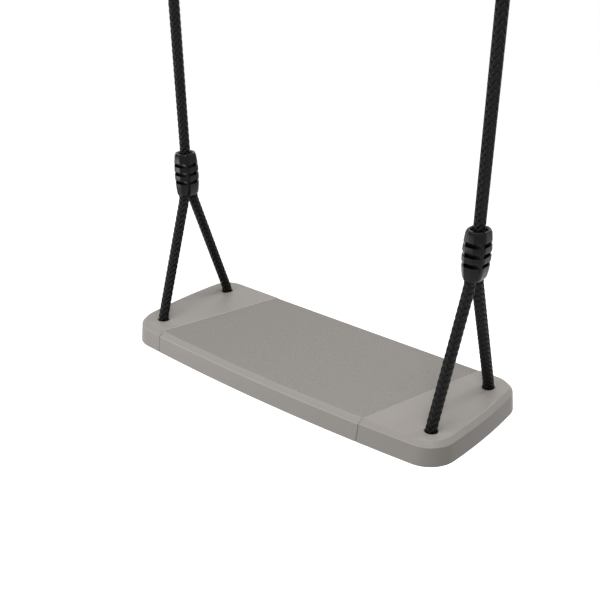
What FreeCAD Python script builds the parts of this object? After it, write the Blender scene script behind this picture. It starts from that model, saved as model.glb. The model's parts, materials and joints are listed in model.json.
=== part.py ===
"""Rope swing with a moulded board seat: every piece as its own solid, in millimetres.

Heights are worked out from the middle of the seat's top face. Every solid is then lowered by
hang_height, so that the origin lies between the two eye plates, on the beam's underside.
+X runs along the seat, +Y to its rear, +Z up.
"""
import FreeCAD, Part
import math
import os

V = FreeCAD.Vector
os.makedirs("parts", exist_ok=True)

# ---------------------------------------------------------------- driving dimensions
hang_height = 501.0         # seat top up to the underside of the beam
rope_x = 185.0              # ropes hang this far each side of the middle
rope_d = 11.0               # round braided rope
rope_r = rope_d / 2

seat_half_length = 212.4    # at the top of the wall, on the seat's centre line
seat_half_width = 82.5
seat_thickness = 24.9
side_bow = 4.9              # how far the long sides bulge
end_bow = 5.4               # how far the ends bulge
corner_radius = 27.75
end_rise = 3.46             # the ends stand this much higher than the middle
edge_chamfer = 5.0          # band round the top edge
wall_draft = 0.1276         # the wall leans out by this much per millimetre going down
cover_wall = 3.0
fit_gap = 0.4               # between a cover and the core inside it
panel_drop = 0.6            # the middle panel lies this much below the end caps

seam_x = 141.8              # where a seam crosses the seat's centre line
seam_slant = 0.2604         # its step along X for each millimetre along Y
seam_gap = 0.6

hole_y = 52.7               # rope holes, each side of the centre line
hole_r = 6.3
run_height = -15.6          # centre of the rope where it passes under the seat
run_corner = 7.0            # how far the rope's corners reach up the hole and along the run
corner_share = 0.45         # share of the shorter run that a corner of a rope takes up
rope_play = 0.5             # room round the rope in its channel

clamp_bottom = 137.5        # bridle clamp on the seat's side
clamp_top = 184.0
clamp_height = clamp_top - clamp_bottom
clamp_sections = (          # share of the height, half width along X, half width along Y
    (0.0, 7.2, 12.1), (0.07, 8.7, 12.9), (0.2, 10.3, 13.3), (0.42, 11.6, 13.8),
    (0.62, 11.7, 13.6), (0.82, 11.1, 12.9), (0.94, 10.4, 12.2), (1.0, 9.2, 11.0),
)
flat_share = (0.38, 0.40)   # the flats' half widths against the section's
shoulder_share = (0.90, 0.62)
slot_heights = (153.3, 162.6, 172.0)
slot_height = 3.8
slot_end = (9.8, 6.9)       # a rib stands past this at two opposite corners
deep_floor = (7.8, 7.8)     # half widths of the middle that the slots leave
deep_corner = ((9.8, 4.8), (9.3, 7.7), (5.7, 10.7))    # the slots stay shallow at the other corners
deep_ends = (4.0, 4.2)
shallow_floor = (9.0, 12.2)
shallow_corner = 3.0
pad_x = 4.5                 # a step in the deep slots, beside the rib
pad_y = 9.0
clamp_play = 0.3
strand_flare = 0.2          # the strands already spread where they leave the clamp
strand_y = 5.55             # two strands lie side by side this far from the middle
leg_turn = 135.0            # the legs turn outwards just below the clamp
leg_end = 150.0             # the bridle rope ends this high, inside the clamp
pivot_height = 176.0        # the upper rope rocks about this point in the bridle clamp
cup_r = 7.2                 # outside of the cup on its end
socket_r = 7.5
mouth_r = 8.2
neck_r = 6.7

loop_clamp_bottom = 374.0   # the same kind of clamp closes the loop at the top
pin_height = 447.0
pin_r = 5.0
pin_play = 0.05
pin_head_y = -18.2
nut_y = 18.2
thimble_r = 15.3            # the rope's centre runs round the pin at this radius
thimble_flange_r = 17.0
thimble_half = 7.0
wrap_lean = 25.0            # degrees past half a turn, each side
eye_height = 476.0          # centre of the eye's lowest point
steel_r = 4.0               # round bar of the eye and the shackle
shackle_bend = 14.0
eye_bend = 12.0
plate_thickness = 4.0
plate_size = (84.0, 36.0)
plate_hole_x = 30.0
plate_hole_r = 3.25

cap_screws = [(170.0, 24.0), (170.0, -24.0), (201.0, 24.0), (201.0, -24.0)]
panel_screws = [(105.0, 52.5), (105.0, -52.5), (0.0, 52.5), (0.0, -52.5), (-105.0, 52.5), (-105.0, -52.5)]
boss_r = 4.5
boss_bottom = -13.0
screw_r = 1.9
screw_head_r = 3.8
screw_head_top = -16.5
screw_head_thick = 2.6

cap_drop = 1.4              # the caps' hollow underside lies lower than the panel's
trough_depth = 2.0          # shallow hollow between the two holes of a cap
trough_half = 70.0
trough_x = 187.0
trough_r = 95.0
hole_flare = 1.6
core_lift = 0.8             # the core stops short of the covers' lower edge
core_skin = 3.0
rib = 2.6
cell = 32.0
column_r = 8.5
end_cell_x = (197.0, 206.0)
end_cells_y = ((-50.0, -32.0), (-14.0, 14.0), (32.0, 50.0))

count = 0


# ---------------------------------------------------------------- helpers
def save(shape, name):
    """Lower a finished solid to its place below the beam and write it."""
    global count
    placed = shape.copy()
    placed.translate(V(0, 0, -hang_height))
    placed.exportStep("parts/%s.step" % name)
    count += 1
    box = placed.BoundBox
    print("%-22s solids %d  volume %9.1f  x %.1f..%.1f  y %.1f..%.1f  z %.1f..%.1f  %s" % (
        name, len(placed.Solids), placed.Volume, box.XMin, box.XMax, box.YMin, box.YMax,
        box.ZMin, box.ZMax, "ok" if placed.isValid() else "NOT VALID"))


def turned(shape):
    """A copy turned half way round the vertical line through the middle of the seat."""
    copy = shape.copy()
    copy.rotate(V(0, 0, 0), V(0, 0, 1), 180)
    return copy


def moved(shape, x=0.0, y=0.0, z=0.0):
    copy = shape.copy()
    copy.translate(V(x, y, z))
    return copy


def box(x0, x1, y0, y1, z0, z1):
    return Part.makeBox(x1 - x0, y1 - y0, z1 - z0, V(x0, y0, z0))


def upright(radius, x, y, z0, z1):
    return Part.makeCylinder(radius, z1 - z0, V(x, y, z0))


def rounded_route(points):
    """Straight runs joined by tangent arcs, each as wide as its two runs allow."""
    edges = []
    used = []
    start = points[0]
    for i in range(1, len(points) - 1):
        here = points[i]
        back = points[i - 1] - here
        on = points[i + 1] - here
        turn = math.pi - back.getAngle(on)
        shorter = min(back.Length, on.Length)
        radius = corner_share * shorter / math.tan(turn / 2)
        reach = radius * math.tan(turn / 2)
        back.normalize()
        on.normalize()
        enter = here + back * reach
        leave = here + on * reach
        inward = (back + on).normalize()
        middle = here + inward * (radius / math.cos(turn / 2) - radius)
        edges.append(Part.LineSegment(start, enter).toShape())
        edges.append(Part.Arc(enter, middle, leave).toShape())
        used.append(round(radius, 1))
        start = leave
    edges.append(Part.LineSegment(start, points[-1]).toShape())
    return Part.Wire(edges), used


def tube(points, radius, label=""):
    """A round cord along a route. Prints its radii, and its volume against section times length."""
    wire, used = rounded_route(points)
    along = points[1] - points[0]
    ring = Part.Wire(Part.makeCircle(radius, points[0], along))
    solid = wire.makePipeShell([ring], True, True)
    if label:
        ideal = math.pi * radius ** 2 * wire.Length
        print("%-22s length %.1f  radii %s  volume/ideal %.4f" % (
            label, wire.Length, used, solid.Volume / ideal))
    return solid


# ---------------------------------------------------------------- the seat's outer form
side_radius = seat_half_length ** 2 / (2 * side_bow)
end_radius = seat_half_width ** 2 / (2 * end_bow)
top_radius = seat_half_length ** 2 / (2 * end_rise)


def corner_centre():
    """Centre of the corner arc, which touches both the long side's arc and the end's arc."""
    side = (0.0, seat_half_width - side_radius)
    end = (seat_half_length - end_radius, 0.0)
    from_side = side_radius - corner_radius
    from_end = end_radius - corner_radius
    dx, dy = end[0] - side[0], end[1] - side[1]
    apart = math.hypot(dx, dy)
    along = (from_side ** 2 - from_end ** 2 + apart ** 2) / (2 * apart)
    across = math.sqrt(from_side ** 2 - along ** 2)
    x = side[0] + (along * dx + across * dy) / apart
    y = side[1] + (along * dy - across * dx) / apart
    return V(x, y, 0)


def outline(inset, z):
    """The seat's plan as eight tangent arcs, moved inwards by inset, at height z."""
    side_centre = V(0, seat_half_width - side_radius, 0)
    end_centre = V(seat_half_length - end_radius, 0, 0)
    corner = corner_centre()
    on_side = side_centre + (corner - side_centre).normalize() * (side_radius - inset)
    on_end = end_centre + (corner - end_centre).normalize() * (end_radius - inset)
    outward = ((on_side - corner).normalize() + (on_end - corner).normalize()).normalize()
    on_corner = corner + outward * (corner_radius - inset)
    side_mid = V(0, seat_half_width - inset, 0)
    end_mid = V(seat_half_length - inset, 0, 0)

    def at(p, sx, sy):
        return V(p.x * sx, p.y * sy, z)

    arcs = []
    for sx, sy in ((1, 1), (-1, 1), (-1, -1), (1, -1)):
        quarter = [(on_end, on_corner, on_side)]
        for a, b, c in quarter if sx * sy > 0 else [tuple(reversed(q)) for q in quarter]:
            arcs.append(Part.Arc(at(a, sx, sy), at(b, sx, sy), at(c, sx, sy)).toShape())
        if (sx, sy) in ((1, 1), (-1, -1)):
            arcs.append(Part.Arc(at(on_side, sx, sy), at(side_mid, sx, sy), at(on_side, -sx, sy)).toShape())
        else:
            arcs.append(Part.Arc(at(on_end, sx, sy), at(end_mid, sx, sy), at(on_end, sx, -sy)).toShape())
    return Part.Wire(arcs)


def slab(top, bottom):
    """All space between two gentle arcs that rise towards the seat's ends."""
    reach = 260.0
    rise = reach ** 2 / (2 * top_radius)

    def arc(z, sign):
        return Part.Arc(V(-reach * sign, 0, z + rise), V(0, 0, z), V(reach * sign, 0, z + rise)).toShape()

    low, high = arc(bottom, 1), arc(top, -1)
    ends = [Part.LineSegment(V(s * reach, 0, (bottom if s > 0 else top) + rise),
                             V(s * reach, 0, (top if s > 0 else bottom) + rise)).toShape() for s in (1, -1)]
    face = Part.Face(Part.Wire([low, ends[0], high, ends[1]]))
    face.translate(V(0, -120, 0))
    return face.extrude(V(0, 240, 0))


def seat_form(inset, top, bottom, chamfer):
    """The drafted board between two arcs, with a chamfer round its top edge."""
    low, high = -34.0, 10.0
    floor_inset = inset + wall_draft * (low + edge_chamfer)
    roof_inset = inset + wall_draft * (high + edge_chamfer)
    prism = Part.makeLoft([outline(floor_inset, low), outline(roof_inset, high)], True, True)
    form = prism.common(slab(top, bottom))
    form = form.Solids[0]
    if chamfer:
        rim = [e for e in form.Edges if e.BoundBox.ZMin > top - 0.5]
        form = form.makeChamfer(chamfer, rim)
    return form


def beyond_seam(gap):
    """Space outside the right-hand seam, from gap/2 past it."""
    far = 300.0
    reach = 150.0
    inner = [V(seam_x + gap / 2 + seam_slant * y, y, -60) for y in (-reach, reach)]
    outer = [V(far, reach, -60), V(far, -reach, -60)]
    corners = inner + outer
    face = Part.Face(Part.makePolygon(corners + corners[:1]))
    return face.extrude(V(0, 0, 120))


def trough(top):
    """A long shallow hollow along Y between the two rope holes, deepest in the middle."""
    axis_z = top + trough_r - trough_depth
    shallow = axis_z - trough_r + trough_depth
    ends = [V(trough_x, y, shallow) for y in (-trough_half, trough_half)]
    arc = Part.Arc(ends[0], V(trough_x, 0, axis_z - trough_r), ends[1]).toShape()
    round_axis = [ends[1], V(trough_x, trough_half, axis_z), V(trough_x, -trough_half, axis_z), ends[0]]
    rest = [Part.LineSegment(a, b).toShape() for a, b in zip(round_axis[:-1], round_axis[1:])]
    face = Part.Face(Part.Wire([arc] + rest))
    return face.revolve(V(trough_x, 0, axis_z), V(0, 1, 0), 360)


# ---------------------------------------------------------------- ropes
def bridle_points(x):
    """One rope from the clamp, down a leg, through a hole, under the seat and up the other leg."""
    quarter = [
        V(x, -strand_y, leg_end),
        V(x, -strand_y, leg_turn),
        V(x, -hole_y, 4.0),
        V(x, -hole_y, run_height + run_corner),
        V(x, -hole_y + run_corner, run_height),
    ]
    return quarter + [V(p.x, -p.y, p.z) for p in reversed(quarter)]


def loop_points(x):
    """The upper rope: straight up, through the loop clamp, round the thimble and back into the clamp."""
    lean = math.radians(wrap_lean)
    corners = 4
    turn = (math.pi + 2 * lean) / corners
    circle = []
    for i in range(corners):
        angle = -lean + turn * (i + 0.5)
        reach = thimble_r / math.cos(turn / 2)
        circle.append(V(x + reach * math.cos(angle), 0, pin_height + reach * math.sin(angle)))
    mouth = loop_clamp_bottom + clamp_height - 2.0
    return [
        V(x, 0, pivot_height),
        V(x, 0, loop_clamp_bottom + 10.0),
        V(x + strand_y, 0, loop_clamp_bottom + 26.0),
        V(x + strand_y, 0, mouth),
    ] + circle + [
        V(x - strand_y, 0, mouth),
        V(x - strand_y, 0, mouth - 16.0),
    ]


# ---------------------------------------------------------------- clamps
def clamp_section(half_x, half_y, z):
    """A closed wire with broad flats on four sides and a shoulder at each corner."""
    quarter = [
        (half_x, flat_share[1] * half_y),
        (shoulder_share[0] * half_x, shoulder_share[1] * half_y),
        (flat_share[0] * half_x, half_y),
    ]
    ring = []
    for sx, sy in ((1, 1), (-1, 1), (-1, -1), (1, -1)):
        third = quarter if sx * sy > 0 else quarter[::-1]
        ring += [V(px * sx, py * sy, z) for px, py in third]
    return Part.makePolygon(ring + ring[:1])


def half_turned(points):
    """The points and the same points turned half way round."""
    return points + [(-x, -y) for x, y in points]


def slot_ring(deep):
    """What one tier of slots takes away: all round the middle, but for a rib at two corners."""
    reach = 30.0
    half_x, half_y = deep_floor if deep else shallow_floor
    if deep:
        side = [(half_x, deep_ends[0])] + list(deep_corner) + [(deep_ends[1], half_y), (-half_x, half_y)]
        step = box(pad_x, slot_end[0], -pad_y, -slot_end[1], 0, slot_height)
    else:
        side = [(half_x, half_y - shallow_corner), (half_x - shallow_corner, half_y), (-half_x, half_y)]
        step = box(half_x - 1.0, slot_end[0], -half_y, -slot_end[1], 0, slot_height)
    corners = [V(x, y, 0) for x, y in half_turned(side)]
    middle = Part.Face(Part.makePolygon(corners + corners[:1])).extrude(V(0, 0, slot_height))
    ring = box(-reach, reach, -reach, reach, 0, slot_height).cut(middle)
    rib_corner = box(slot_end[0], reach, -reach, -slot_end[1], 0, slot_height)
    for piece in (rib_corner, step):
        ring = ring.cut(piece).cut(turned(piece))
    return ring


def barrel(deep):
    """The clamp's outside: a barrel, flat at both ends, with three tiers of slots."""
    wires = [clamp_section(hx, hy, clamp_bottom + share * clamp_height) for share, hx, hy in clamp_sections]
    body = Part.makeLoft(wires, True, True)
    ring = slot_ring(deep)
    for z in slot_heights:
        body = body.cut(moved(ring, z=z - slot_height / 2))
    return body


def strand_slot(low, high, play, centre):
    """Room for two strands side by side along Y."""
    radius = rope_r + play
    slot = box(-radius, radius, -centre, centre, low, high)
    for s in (1, -1):
        slot = slot.fuse(upright(radius, 0, s * centre, low, high))
    return slot


def bridle_clamp():
    """Grips the two legs below, and holds the cup of the upper rope in a round socket above."""
    body = barrel(True)
    flare_top = leg_end - 6.0
    body = body.cut(strand_slot(flare_top, leg_end + 0.2, clamp_play, strand_y))
    body = body.cut(strand_slot(clamp_bottom - 1.0, flare_top, clamp_play, strand_y + strand_flare))
    neck_height = math.sqrt(socket_r ** 2 - neck_r ** 2)
    body = body.cut(Part.makeSphere(socket_r, V(0, 0, pivot_height)))
    rise = clamp_top - pivot_height - neck_height
    past_top = 1.0
    top_r = mouth_r + (mouth_r - neck_r) / rise * past_top
    funnel = Part.makeCone(neck_r, top_r, rise + past_top, V(0, 0, pivot_height + neck_height))
    return body.cut(funnel)


def loop_clamp(rope):
    """The same barrel upside down, with shallower slots: one rope below, two strands above."""
    body = barrel(False)
    body.rotate(V(0, 0, (clamp_top + clamp_bottom) / 2), V(1, 0, 0), 180)
    body.rotate(V(0, 0, 0), V(0, 0, 1), 90)
    body.translate(V(0, 0, loop_clamp_bottom - clamp_bottom))
    return body.cut(rope)


def rope_stopper():
    """Cup on the upper rope's end, round outside, that rocks in the clamp's socket."""
    centre = V(0, 0, pivot_height)
    rim = 1.0
    cup = Part.makeSphere(cup_r, centre)
    cup = cup.cut(box(-20, 20, -20, 20, pivot_height + rim, pivot_height + 20))
    hollow_r = rope_r + 0.2
    cup = cup.cut(Part.makeSphere(hollow_r, centre))
    return cup.cut(Part.makeCone(hollow_r, hollow_r + 0.8, 4.0, centre))


# ---------------------------------------------------------------- steel fittings
def thimble():
    """A round bobbin on the shackle's pin, with a groove for the rope."""
    groove_play = 0.4
    centre = V(0, 0, pin_height)
    across = V(0, 1, 0)
    body = Part.makeCylinder(thimble_flange_r, 2 * thimble_half, centre - across * thimble_half, across)
    body = body.cut(Part.makeTorus(thimble_r, rope_r + groove_play, centre, across))
    bore = Part.makeCylinder(pin_r + pin_play, 4 * thimble_half, centre - across * 2 * thimble_half, across)
    return body.cut(bore)


def u_bend(width, bend_z, leg_z, vertical_sign, across):
    """A round bar bent into a U: two legs from leg_z to bend_z, joined by a half circle."""
    def at(s, z):
        return V(s * width, 0, z) if across == "x" else V(0, s * width, z)

    top = V(0, 0, bend_z + vertical_sign * width)
    path = Part.Wire([
        Part.LineSegment(at(-1, leg_z), at(-1, bend_z)).toShape(),
        Part.Arc(at(-1, bend_z), top, at(1, bend_z)).toShape(),
        Part.LineSegment(at(1, bend_z), at(1, leg_z)).toShape(),
    ])
    ring = Part.Wire(Part.makeCircle(steel_r, at(-1, leg_z), V(0, 0, 1)))
    return path.makePipeShell([ring], True, True)


def shackle():
    """Bow over the eye, with an ear at each side for the pin."""
    gap = 0.3
    crown = eye_height + 2 * steel_r + gap
    body = u_bend(shackle_bend, crown - shackle_bend, pin_height, 1, "y")
    ear_r, ear_half = 8.0, 4.0
    for s in (1, -1):
        ear_start = V(0, s * shackle_bend - ear_half, pin_height)
        ear = Part.makeCylinder(ear_r, 2 * ear_half, ear_start, V(0, 1, 0))
        body = body.fuse(ear)
    bore = Part.makeCylinder(pin_r + pin_play, 60, V(0, -30, pin_height), V(0, 1, 0))
    return body.cut(bore)


def shackle_pin():
    """Bolt through the ears and the thimble, with a domed head."""
    head_r, head_thick, past_nut = 8.0, 4.5, 8.0
    shank = Part.makeCylinder(pin_r, nut_y + past_nut - pin_head_y, V(0, pin_head_y, pin_height), V(0, 1, 0))
    head = Part.makeCylinder(head_r, head_thick, V(0, pin_head_y - head_thick, pin_height), V(0, 1, 0))
    rim = [e for e in head.Edges if e.BoundBox.YMax < pin_head_y - head_thick + 0.1]
    head = head.makeFillet(2.0, rim)
    return shank.fuse(head)


def shackle_nut():
    """Hexagon nut with chamfered corners on the pin's end."""
    corner_r, thick = 9.2, 6.0
    cone_near, cone_far = corner_r + 1.6, corner_r - 0.9
    across = V(0, 1, 0)
    angles = [math.radians(a) for a in range(0, 361, 60)]
    ring = [V(corner_r * math.cos(a), nut_y, pin_height + corner_r * math.sin(a)) for a in angles]
    body = Part.Face(Part.makePolygon(ring)).extrude(across * thick)
    body = body.common(Part.makeCone(cone_near, cone_far, thick, V(0, nut_y, pin_height), across))
    return body.cut(Part.makeCylinder(pin_r + pin_play, 5 * thick, V(0, nut_y - thick, pin_height), across))


def eye_plate():
    """Plate for two screws with a round-bar eye welded under it."""
    under = hang_height - plate_thickness
    long, wide = plate_size
    corner = 8.0
    plate = box(-long / 2, long / 2, -wide / 2, wide / 2, under, hang_height)
    plate = plate.makeFillet(corner, [e for e in plate.Edges if e.BoundBox.ZLength > 1])
    rim = [e for e in plate.Edges if e.BoundBox.ZMax < under + 0.1]
    plate = plate.makeChamfer(0.8, rim)
    for s in (1, -1):
        plate = plate.cut(upright(plate_hole_r, s * plate_hole_x, 0, under - 1, hang_height + 1))
        plate = plate.cut(Part.makeCone(plate_hole_r + 2.2, plate_hole_r, 2.2, V(s * plate_hole_x, 0, under)))
    sink = 1.0
    eye = u_bend(eye_bend, eye_height + eye_bend, under + sink, -1, "x")
    weld_h = 2.5
    body = plate.fuse(eye)
    for s in (1, -1):
        weld = Part.makeCone(steel_r, steel_r + weld_h, weld_h, V(s * eye_bend, 0, under - weld_h))
        body = body.fuse(weld)
    return body.removeSplitter()


# ---------------------------------------------------------------- the seat's pieces
def rise_at(x):
    return x ** 2 / (2 * top_radius)


def boss(x, y):
    """Pillar under a cover, with a pilot hole for a screw."""
    top = -2.0 + rise_at(x)
    low = boss_bottom + rise_at(x)
    pillar = upright(boss_r, x, y, low, top)
    return pillar.cut(upright(screw_r + 0.1, x, y, low - 1, top - 2.5))


def core_hole(x, y):
    """Room in the core for a cover's boss, the screw's shank and its head."""
    lift = rise_at(x)
    hole = upright(boss_r + fit_gap, x, y, boss_bottom + lift - fit_gap, 10)
    hole = hole.fuse(upright(screw_r + 0.4, x, y, screw_head_top + lift - 1, boss_bottom + lift + 1))
    return hole.fuse(upright(screw_head_r + 0.8, x, y, -40, screw_head_top + lift))


def screw(x, y):
    """Pan-head screw, driven up from below, with a crossed recess."""
    lift = rise_at(x)
    top = screw_head_top + lift
    shank_top = boss_bottom + lift + 8.0
    body = upright(screw_r, x, y, top - 0.5, shank_top)
    head = upright(screw_head_r, x, y, top - screw_head_thick, top)
    head = head.makeFillet(1.2, [e for e in head.Edges if e.BoundBox.ZMax < top - screw_head_thick + 0.1])
    half_slot, half_cross, deep = 0.6, 2.2, 1.3
    face = top - screw_head_thick
    cross = box(x - half_cross, x + half_cross, y - half_slot, y + half_slot, face - 1, face + deep)
    second = box(x - half_slot, x + half_slot, y - half_cross, y + half_cross, face - 1, face + deep)
    cross = cross.fuse(second)
    return body.fuse(head).cut(cross)


def covers():
    """The three top covers, cut from one shell by the two slanted seams."""
    floor = -seat_thickness
    deep = -60.0
    cap_outer = seat_form(0.0, 0.0, floor, edge_chamfer)
    panel_outer = seat_form(0.0, -panel_drop, floor, edge_chamfer)
    cap_inner = seat_form(cover_wall, -cover_wall - cap_drop, deep, 0)
    panel_inner = seat_form(cover_wall, -cover_wall - panel_drop, deep, 0)
    right = beyond_seam(seam_gap)
    right_wide = beyond_seam(-seam_gap)

    cap = cap_outer.cut(cap_inner).common(right)
    cap = cap.cut(trough(rise_at(rope_x)))
    for x, y in cap_screws:
        cap = cap.fuse(boss(x, y))
    for s in (1, -1):
        top = rise_at(rope_x)
        cap = cap.cut(upright(hole_r, rope_x, s * hole_y, -30, 20))
        flare_start = V(rope_x, s * hole_y, top - hole_flare)
        cap = cap.cut(Part.makeCone(hole_r, hole_r + hole_flare, hole_flare, flare_start))

    panel = panel_outer.cut(panel_inner).cut(right_wide).cut(turned(right_wide))
    for x, y in panel_screws:
        panel = panel.fuse(boss(x, y))
    return cap, panel


def core(rope_channel):
    """The ribbed board inside the covers, which carries the load to the ropes."""
    under_covers = -cover_wall - panel_drop - fit_gap
    body = seat_form(cover_wall + fit_gap, under_covers, core_lift - seat_thickness, 0)
    under_cap = seat_form(-20, 40, -cover_wall - cap_drop - fit_gap, 0)
    for side in (beyond_seam(-3.0), turned(beyond_seam(-3.0))):
        body = body.cut(under_cap.common(side))

    skin = under_covers - core_skin
    half_columns, half_rows = 4, 2
    pockets = []
    for i in range(-half_columns, half_columns + 1):
        for j in range(-half_rows, half_rows):
            x0 = i * (cell + rib) - cell / 2
            y0 = j * (cell + rib) + rib / 2
            pockets.append(box(x0, x0 + cell, y0, y0 + cell, -60, skin))
    for s in (1, -1):
        near, far = sorted(s * x for x in end_cell_x)
        pockets += [box(near, far, y0, y1, -60, skin - core_skin) for y0, y1 in end_cells_y]
    columns = [upright(column_r, x, y, -60, 20) for x, y in panel_screws]
    columns += [upright(column_r, s * x, y, -60, 20) for x, y in cap_screws for s in (1, -1)]
    cut = pockets[0].multiFuse(pockets[1:])
    for column in columns:
        cut = cut.cut(column)
    body = body.cut(cut)

    for x, y in panel_screws:
        body = body.cut(core_hole(x, y))
    for x, y in cap_screws:
        for s in (1, -1):
            body = body.cut(core_hole(s * x, y))
    open_r = rope_r + rope_play
    inner_y = hole_y - run_corner
    outer_y = hole_y + open_r - 2.0
    for s in (1, -1):
        near, far = s * rope_x - open_r, s * rope_x + open_r
        body = body.cut(moved(rope_channel, x=s * rope_x))
        body = body.cut(box(near, far, -inner_y, inner_y, -60, run_height))
        for t in (1, -1):
            body = body.cut(upright(hole_r, s * rope_x, t * hole_y, run_height + run_corner, 20))
            low, high = sorted((t * inner_y, t * outer_y))
            body = body.cut(box(near, far, low, high, -60, run_height + 2.0))
    return body


# ---------------------------------------------------------------- build and write every piece
sides = (("left", -1), ("right", 1))

bridle = tube(bridle_points(0.0), rope_r, label="bridle rope")
channel = tube(bridle_points(0.0), rope_r + rope_play)
loop_route = loop_points(0.0)
upper = tube(loop_route, rope_r, label="upper rope")
upper = upper.fuse(Part.makeSphere(rope_r, V(0, 0, pivot_height)))
upper_room = tube(loop_route, rope_r + clamp_play)

pieces = {
    "eye_plate": eye_plate(),
    "shackle": shackle(),
    "shackle_pin": shackle_pin(),
    "shackle_nut": shackle_nut(),
    "thimble": thimble(),
    "loop_clamp": loop_clamp(upper_room),
    "upper_rope": upper,
    "rope_stopper": rope_stopper(),
    "bridle_clamp": bridle_clamp(),
    "bridle_rope": bridle,
}
for name, shape in pieces.items():
    for side, sign in sides:
        save(moved(shape, x=sign * rope_x), "%s_%s" % (side, name))

cap, panel = covers()
save(panel, "centre_panel")
save(cap, "right_end_cap")
save(turned(cap), "left_end_cap")
save(core(channel), "seat_core")
save(Part.makeCompound([screw(x, y) for x, y in panel_screws]), "centre_panel_screws")
save(Part.makeCompound([screw(s * x, y) for x, y in cap_screws for s in (1, -1)]), "end_cap_screws")
print("nodes", count)
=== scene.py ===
# %% [markdown]
# # A rope swing with a moulded board seat
# A stiff plastic board hangs by its four corners from two ropes. Each rope splits into a
# two-legged bridle at a slotted black clamp, and the bridle runs under the board through two
# holes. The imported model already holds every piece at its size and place. This lesson dresses
# it: it builds the braided ropes, the three top covers and the clamps again with the detail of
# the real thing, and gives the steel, the nylon and the ribbed core their finishes.

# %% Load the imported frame
import bpy
import bmesh
import json
import math
from mathutils import Matrix, Vector


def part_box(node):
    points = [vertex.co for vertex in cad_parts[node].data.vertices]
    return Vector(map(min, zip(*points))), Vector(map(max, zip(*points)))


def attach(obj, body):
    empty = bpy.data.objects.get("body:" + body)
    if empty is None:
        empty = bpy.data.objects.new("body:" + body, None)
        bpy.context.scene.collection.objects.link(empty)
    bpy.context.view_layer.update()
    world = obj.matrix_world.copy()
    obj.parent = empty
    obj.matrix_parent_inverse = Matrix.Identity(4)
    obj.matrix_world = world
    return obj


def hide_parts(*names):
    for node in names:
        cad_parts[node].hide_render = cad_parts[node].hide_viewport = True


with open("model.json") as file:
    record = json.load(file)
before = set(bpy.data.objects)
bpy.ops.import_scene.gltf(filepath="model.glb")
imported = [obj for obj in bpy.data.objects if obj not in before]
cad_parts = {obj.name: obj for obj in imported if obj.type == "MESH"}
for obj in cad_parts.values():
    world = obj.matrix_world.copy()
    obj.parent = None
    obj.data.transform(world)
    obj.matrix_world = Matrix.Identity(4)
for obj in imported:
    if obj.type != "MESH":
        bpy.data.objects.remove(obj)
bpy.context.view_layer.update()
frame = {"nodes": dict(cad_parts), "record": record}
scene = bpy.context.scene
scene.view_settings.view_transform = "Standard"

# %% [markdown]
# ## Sizes that several steps share
# Everything is in metres, in the imported model's frame: +X runs along the seat, +Y to its rear
# and +Z up, and the origin lies on the beam between the two eye plates. The ropes' distance
# from the middle is read from the model's own box, and the height of the seat's top is given,
# so the pieces made here sit where the solids do.

# %% Shared sizes
MM = 0.001
rope_low, rope_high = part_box("right_bridle_rope")
rope_x = (rope_low.x + rope_high.x) / 2
rope_d = rope_high.x - rope_low.x
rope_r = rope_d / 2
seat_top = -501 * MM
rope_hole_mm = 52.7     # from the seat's centre line to the middle of a rope hole
strand_mm = 5.55        # from the middle of a clamp to a strand beside it
sides = (("left", -1), ("right", 1))
print("ropes at x =", round(rope_x, 4), "diameter", round(rope_d, 4), "seat top at z =", seat_top)

# %% [markdown]
# ## The camera
# It stands above the front right corner of the seat and looks down at about thirty degrees.
# The lens is a little longer than a normal one. The shift moves the picture without tilting
# the camera, which keeps the seat at the lower middle of the frame.

# %% The camera
camera_data = bpy.data.cameras.new("camera")
camera_data.sensor_width = 36.0
camera_data.lens = 52.96
camera_data.shift_x = -0.0214
camera_data.shift_y = 0.1654
camera_place = (541.1, -655.7, -44.6)
look_at = (-2.9, 0.0, -563.5)
camera = bpy.data.objects.new("camera", camera_data)
scene.collection.objects.link(camera)
camera.location = Vector(camera_place) * MM
view_line = Vector(look_at) * MM - camera.location
camera.rotation_euler = view_line.to_track_quat("-Z", "Y").to_euler()
scene.camera = camera
print("camera", tuple(round(c, 3) for c in camera.location), "lens", camera_data.lens)

# %% [markdown]
# ## Where the ropes run
# A rope under load is straight between the things that it bends round. Each route below is a
# short list of points: the line runs towards each point and turns before it reaches it. A NURBS
# spline of order three does exactly that. One point is added on each long run, close to its
# corner, so that the run stays straight up to there.

# %% Routes of the ropes
# Heights in millimetres, above the seat's top.
rope_start, legs_part, hole_entry, run_z = 150.0, 135.0, 4.0, -15.6
# How far the points that keep a run straight lie from the corners beside them.
past_clamp, before_hole, run_corner, past_hole = 15.0, 12.6, 7.0, 16.9


def bridle_route(x):
    """From the clamp down the front leg, through its hole, under the seat and up the rear leg."""
    leg = Vector((0.0, strand_mm - rope_hole_mm, hole_entry - legs_part)).normalized()
    front = [
        Vector((0.0, -strand_mm, rope_start)),
        Vector((0.0, -strand_mm, legs_part)),
        Vector((0.0, -strand_mm, legs_part)) + leg * past_clamp,
        Vector((0.0, -rope_hole_mm, hole_entry)) - leg * before_hole,
        Vector((0.0, -rope_hole_mm, hole_entry)),
        Vector((0.0, -rope_hole_mm, run_z + run_corner)),
        Vector((0.0, -rope_hole_mm + run_corner, run_z)),
        Vector((0.0, -rope_hole_mm + past_hole, run_z)),
    ]
    half = [Vector((x, p.y * MM, seat_top + p.z * MM)) for p in front]
    return half + [Vector((p.x, -p.y, p.z)) for p in reversed(half)]


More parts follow.
